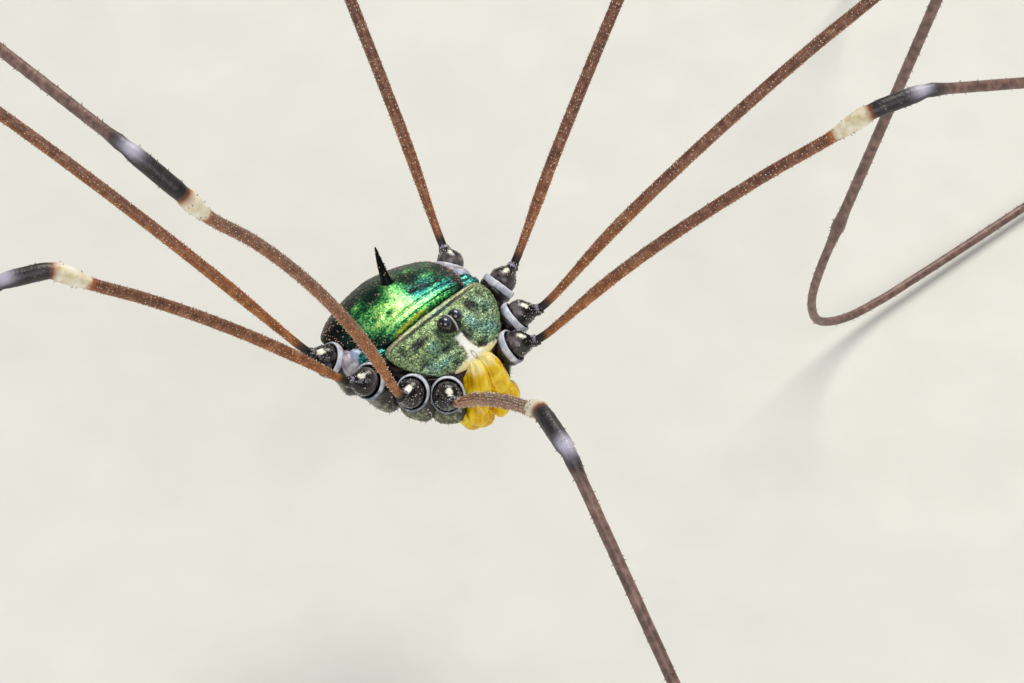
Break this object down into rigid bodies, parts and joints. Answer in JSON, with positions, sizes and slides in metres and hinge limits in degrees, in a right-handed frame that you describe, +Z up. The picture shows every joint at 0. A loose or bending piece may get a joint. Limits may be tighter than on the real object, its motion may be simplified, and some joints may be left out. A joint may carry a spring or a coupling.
{
  "type": "harvestman",
  "caption": "Still life-size harvestman with a domed metallic green body, a single back spine, yellow mouthparts and long thin arched legs, standing on its feet.",
  "frame": {"origin": "on the floor, under the middle of the standing animal's bounding box", "axes": "+Z up from the floor, -Y the way the animal faces, +X to the animal's left"},
  "size_m": [0.1202, 0.1254, 0.0343],
  "materials": {
    "shell_green": "metallic green cuticle, finely granulated",
    "belly": "speckled grey-green cuticle",
    "eye": "polished black cornea",
    "mouthparts": "smooth translucent yellow cuticle",
    "leg_root": "glossy near-black cuticle with small tubercles",
    "femur": "orange-brown cuticle with rows of pale points",
    "knee": "dark grey cuticle",
    "lower_leg": "mauve-brown cuticle"
  },
  "bodies": {
    "root": {"carapace": "shell_green", "scutum": "shell_green", "sternites": "belly", "sternum": "belly", "eye_left": "eye", "chelicera_left": "mouthparts", "pedipalp_left": "mouthparts", "eye_right": "eye", "chelicera_right": "mouthparts", "pedipalp_right": "mouthparts", "coxa_left_1": "leg_root", "femur_left_1": "femur", "patella_left_1": "knee", "tibia_left_1": "lower_leg", "metatarsus_left_1": "lower_leg", "tarsus_left_1": "lower_leg", "coxa_left_2": "leg_root", "femur_left_2": "femur", "patella_left_2": "knee", "tibia_left_2": "lower_leg", "metatarsus_left_2": "lower_leg", "tarsus_left_2": "lower_leg", "coxa_left_3": "leg_root", "femur_left_3": "femur", "patella_left_3": "knee", "tibia_left_3": "lower_leg", "metatarsus_left_3": "lower_leg", "tarsus_left_3": "lower_leg", "coxa_left_4": "leg_root", "femur_left_4": "femur", "patella_left_4": "knee", "tibia_left_4": "lower_leg", "metatarsus_left_4": "lower_leg", "tarsus_left_4": "lower_leg", "coxa_right_1": "leg_root", "femur_right_1": "femur", "patella_right_1": "knee", "tibia_right_1": "lower_leg", "metatarsus_right_1": "lower_leg", "tarsus_right_1": "lower_leg", "coxa_right_2": "leg_root", "femur_right_2": "femur", "patella_right_2": "knee", "tibia_right_2": "lower_leg", "metatarsus_right_2": "lower_leg", "tarsus_right_2": "lower_leg", "coxa_right_3": "leg_root", "femur_right_3": "femur", "patella_right_3": "knee", "tibia_right_3": "lower_leg", "metatarsus_right_3": "lower_leg", "tarsus_right_3": "lower_leg", "coxa_right_4": "leg_root", "femur_right_4": "femur", "patella_right_4": "knee", "tibia_right_4": "lower_leg", "metatarsus_right_4": "lower_leg", "tarsus_right_4": "lower_leg"}
  },
  "joints": []
}
